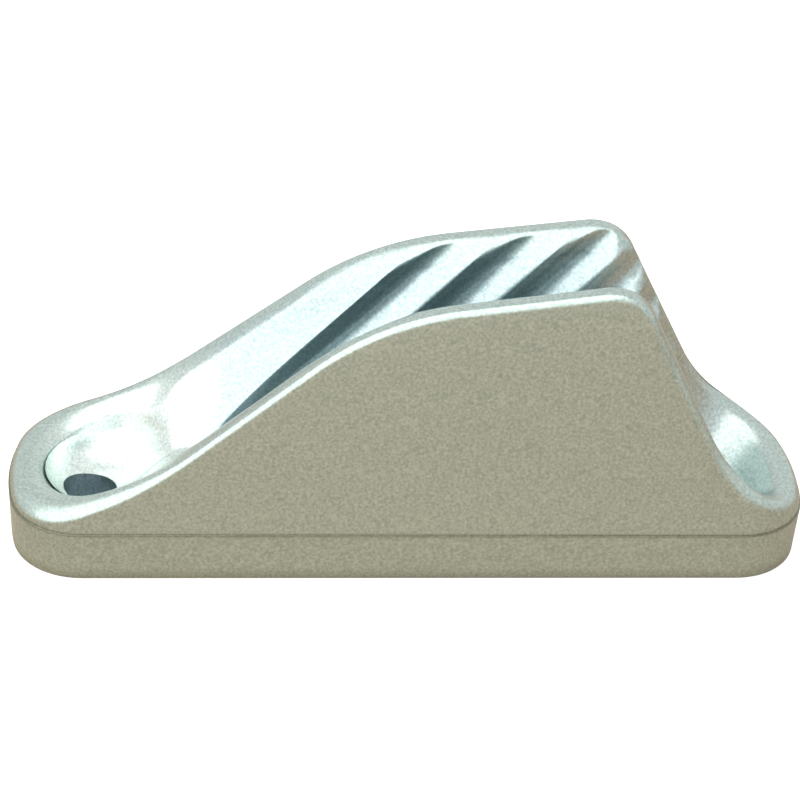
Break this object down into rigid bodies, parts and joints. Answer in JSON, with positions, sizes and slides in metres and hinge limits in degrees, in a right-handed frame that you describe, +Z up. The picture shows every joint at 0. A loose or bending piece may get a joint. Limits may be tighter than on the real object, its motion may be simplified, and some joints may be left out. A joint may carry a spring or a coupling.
{
  "type": "jam cleat",
  "caption": "One-piece cast cleat that grips a line in a V channel between two toothed walls, with a screw tray at each end.",
  "frame": {"origin": "middle of the flat underside", "axes": "+X along the line from the load end to the tail end, +Y across the walls, +Z up away from the deck"},
  "size_m": [0.082, 0.0216, 0.0319],
  "materials": {
    "satin_alloy": "satin anodised casting"
  },
  "bodies": {
    "root": {"cleat_body": "satin_alloy"}
  },
  "joints": []
}
